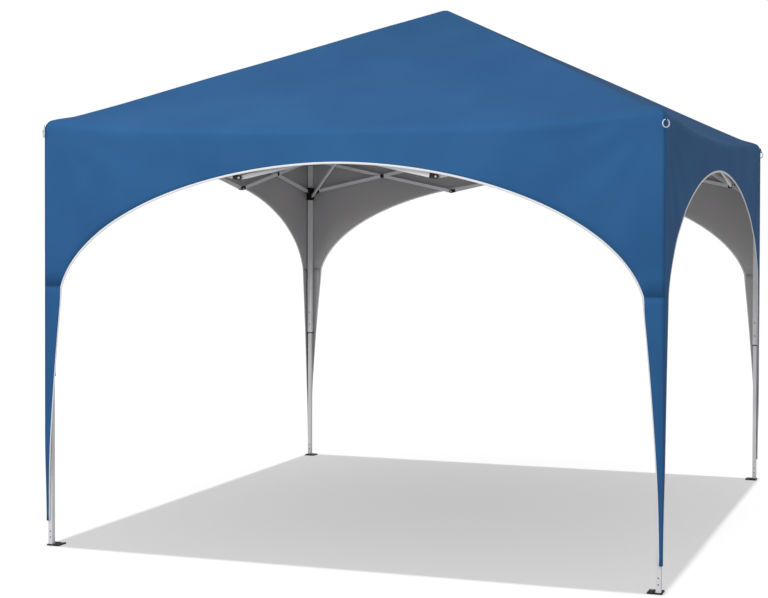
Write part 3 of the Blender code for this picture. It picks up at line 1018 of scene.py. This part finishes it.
def dress_corners():
    """A webbing tab with a metal ring on the fabric at each eave corner."""
    for corner, (sx, sy) in CORNERS.items():
        out = Vector((sx, sy, 0)).normalized()
        side = UP.cross(out)
        edge = Vector((sx * HALF, sy * HALF, 0.0))
        middle = edge + out * RING_OUT + UP * (RING_TOP_Z - RING_RADIUS)
        points = []
        for k in range(RING_STEPS):
            turn = 2 * math.pi * k / RING_STEPS
            points.append(middle + (side * math.cos(turn) + UP * math.sin(turn)) * RING_RADIUS)
        ring_name = f"ring_{corner}"
        closed_rod(ring_name, points, RING_ROD, ring_metal, f"leg_{corner}")
        sections = []
        half = side * (TAB_WIDTH / 2)
        for away, height, run in TAB_PROFILE:
            centre = edge + out * (away + TAB_CLEARANCE) + UP * (RING_TOP_Z + height)
            back = centre - out * TAB_THICK
            near, far = (TAB_UV_START, run), (TAB_UV_START + TAB_WIDTH, run)
            front_edge = [(centre - half, near), (centre + half, far)]
            sections.append(front_edge + [(back + half, far), (back - half, near)])
        strip(f"ring_tab_{corner}", sections, (outside,), body=f"leg_{corner}", smooth=False)


LEG_EDGE = 0.0015
MOULDED_EDGE = 0.0012
BAR_EDGE = 0.0008


def finish_cad():
    """Materials and soft edges for the frame's own nodes."""
    for name, node in frame["nodes"].items():
        if name == "canopy":
            continue
        moulded = name.startswith(("top_bracket", "slider", "foot", "peak_hub"))
        finish = plastic if moulded else steel
        node.data.materials.clear()
        node.data.materials.append(finish)
        if "leg" in name:
            soften(node, LEG_EDGE, segments=3)
        elif moulded:
            soften(node, MOULDED_EDGE)
        else:
            soften(node, BAR_EDGE)


# Floor, light and camera

FLOOR_HALF = 60.0
FLOOR_DROP = 0.0005
SENSOR_WIDTH = 36.0


def add_floor():
    bm = bmesh.new()
    bm.faces.new([bm.verts.new((x * FLOOR_HALF, y * FLOOR_HALF, -FLOOR_DROP)) for x, y in SQUARE])
    mesh = bpy.data.meshes.new("floor")
    bm.to_mesh(mesh)
    bm.free()
    made = bpy.data.objects.new("floor", mesh)
    bpy.context.collection.objects.link(made)
    finish, _, _, shader = shader_material("pale_floor", PALE_FLOOR, 0.9)
    shader.inputs["Specular IOR Level"].default_value = 0.0
    mesh.materials.append(finish)
    made.visible_diffuse = False
    made.visible_glossy = False
    return made


def add_lamp(data, place, direction):
    lamp = bpy.data.objects.new(data.name, data)
    lamp.location = place
    lamp.rotation_mode = "QUATERNION"
    lamp.rotation_quaternion = Vector(direction).to_track_quat("-Z", "Y")
    bpy.context.collection.objects.link(lamp)
    return lamp


def add_sun(name, strength, angle, direction):
    data = bpy.data.lights.new(name, "SUN")
    data.energy = strength
    data.angle = math.radians(angle)
    return add_lamp(data, (0.0, 0.0, 0.0), direction)


def add_area(name, power, size, place, target):
    data = bpy.data.lights.new(name, "AREA")
    data.energy = power
    data.shape = "RECTANGLE"
    data.size, data.size_y = size
    return add_lamp(data, place, Vector(target) - Vector(place))


def light_floor(lamp, floor, only):
    """Makes a lamp light the floor only, or all but the floor."""
    receivers = bpy.data.collections.new(f"{lamp.name}_receivers")
    receivers.objects.link(floor)
    lamp.light_linking.receiver_collection = receivers
    if not only:
        receivers.collection_objects[0].light_linking.link_state = "EXCLUDE"


def add_world(seen, sky, to_front, ground):
    """A white studio: what the camera sees of it, and the light from above, from the front and from below."""
    world = bpy.data.worlds.new("studio")
    bpy.context.scene.world = world
    world.use_nodes = True
    nodes, links = world.node_tree.nodes, world.node_tree.links
    background = nodes["Background"]
    split = nodes.new("ShaderNodeSeparateXYZ")
    links.new(nodes.new("ShaderNodeTexCoord").outputs["Generated"], split.inputs["Vector"])
    forward = math_node(nodes, links, "MULTIPLY", split.outputs["Y"], -to_front)
    upper = math_node(nodes, links, "ADD", forward, sky - ground)
    above = math_node(nodes, links, "GREATER_THAN", split.outputs["Z"], 0.0)
    lifted = math_node(nodes, links, "MULTIPLY", upper, above)
    given = math_node(nodes, links, "ADD", lifted, ground)
    camera_ray = nodes.new("ShaderNodeLightPath").outputs["Is Camera Ray"]
    rest = math_node(nodes, links, "SUBTRACT", seen, given)
    extra = math_node(nodes, links, "MULTIPLY", camera_ray, rest)
    links.new(math_node(nodes, links, "ADD", given, extra), background.inputs["Strength"])
    background.inputs["Color"].default_value = (1.0, 1.0, 1.0, 1.0)


CAMERA_PLACE = (2.69741, -7.62853, 1.55716)
CAMERA_YAW = -0.31046
CAMERA_PITCH = -0.01524
CAMERA_ROLL = 0.00361
FOCAL_PIXELS = 1488.42
IMAGE_SIZE = (768, 598)
IMAGE_CENTRE = (489.02, 245.18)


def add_camera():
    """The photograph's view: it is cropped off centre, which the shift repeats."""
    data = bpy.data.cameras.new("camera")
    data.sensor_width = SENSOR_WIDTH
    data.lens = SENSOR_WIDTH * FOCAL_PIXELS / IMAGE_SIZE[0]
    data.shift_x = (IMAGE_SIZE[0] / 2 - IMAGE_CENTRE[0]) / IMAGE_SIZE[0]
    data.shift_y = (IMAGE_CENTRE[1] - IMAGE_SIZE[1] / 2) / IMAGE_SIZE[0]
    ahead = Vector((
        math.sin(CAMERA_YAW) * math.cos(CAMERA_PITCH),
        math.cos(CAMERA_YAW) * math.cos(CAMERA_PITCH),
        math.sin(CAMERA_PITCH),
    ))
    right = Vector((math.cos(CAMERA_YAW), -math.sin(CAMERA_YAW), 0.0))
    up = right.cross(ahead)
    tilted_right = right * math.cos(CAMERA_ROLL) + up * math.sin(CAMERA_ROLL)
    tilted_up = up * math.cos(CAMERA_ROLL) - right * math.sin(CAMERA_ROLL)
    turn = Matrix((tilted_right, tilted_up, -ahead)).transposed().to_4x4()
    camera = bpy.data.objects.new("camera", data)
    camera.matrix_world = Matrix.Translation(CAMERA_PLACE) @ turn
    bpy.context.collection.objects.link(camera)
    bpy.context.scene.camera = camera


# The object

cover, cover_area = build_cover()
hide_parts("canopy")
sleeves = {corner: build_sleeve(corner) for corner in CORNERS}
seams = [build_sleeve_seam(corner) for corner in CORNERS]
side_names = ("front", "right", "back", "left")
bindings = [build_binding(index, name) for index, name in enumerate(side_names)]
dress_corners()
dress_sides()
dress_ribs()
dress_legs()
finish_cad()

# The studio

floor = add_floor()
add_world(seen=1.0, sky=0.55, to_front=0.14, ground=0.50)
overhead = add_sun("overhead_sun", strength=1.25, angle=1.3, direction=DOWN)
light_floor(overhead, floor, only=True)
floor_fill = add_sun("floor_fill", strength=0.80, angle=1.0, direction=DOWN)
floor_fill.data.use_shadow = False
light_floor(floor_fill, floor, only=True)
front_fill = add_sun("front_fill", strength=0.35, angle=15.0, direction=(0.50, 0.85, -0.10))
light_floor(front_fill, floor, only=False)
key = add_area("key", power=70.0, size=(3.2, 1.6), place=(-0.5, -4.0, 4.2), target=(0.0, -1.2, 2.0))
light_floor(key, floor, only=False)
add_camera()
bpy.context.scene.view_settings.view_transform = "Standard"
